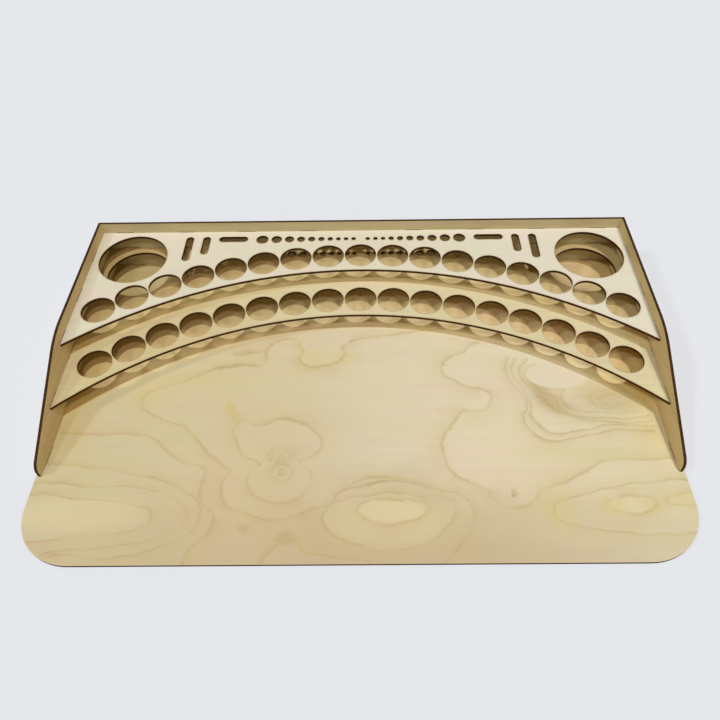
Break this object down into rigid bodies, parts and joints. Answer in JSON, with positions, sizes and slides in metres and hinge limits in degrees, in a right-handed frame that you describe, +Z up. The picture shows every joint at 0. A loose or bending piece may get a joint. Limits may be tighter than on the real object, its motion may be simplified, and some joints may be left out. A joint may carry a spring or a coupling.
{
  "type": "hobby workstation organizer",
  "caption": "Desktop rack of thin plywood: a work board with rounded front corners, low walls, and two arched decks with bottle, cup, brush and tool holes.",
  "frame": {"origin": "middle of the base board's underside", "axes": "+X to the right along the rack, +Y towards the back panel, +Z up"},
  "size_m": [0.64, 0.4, 0.069],
  "materials": {
    "board_plywood": "matte",
    "wall_plywood": "matte",
    "deck_plywood": "matte"
  },
  "bodies": {
    "root": {"base_board": "board_plywood", "back_panel": "wall_plywood", "left_side_panel": "wall_plywood", "right_side_panel": "wall_plywood", "lower_deck": "deck_plywood", "upper_deck": "deck_plywood"}
  },
  "joints": []
}
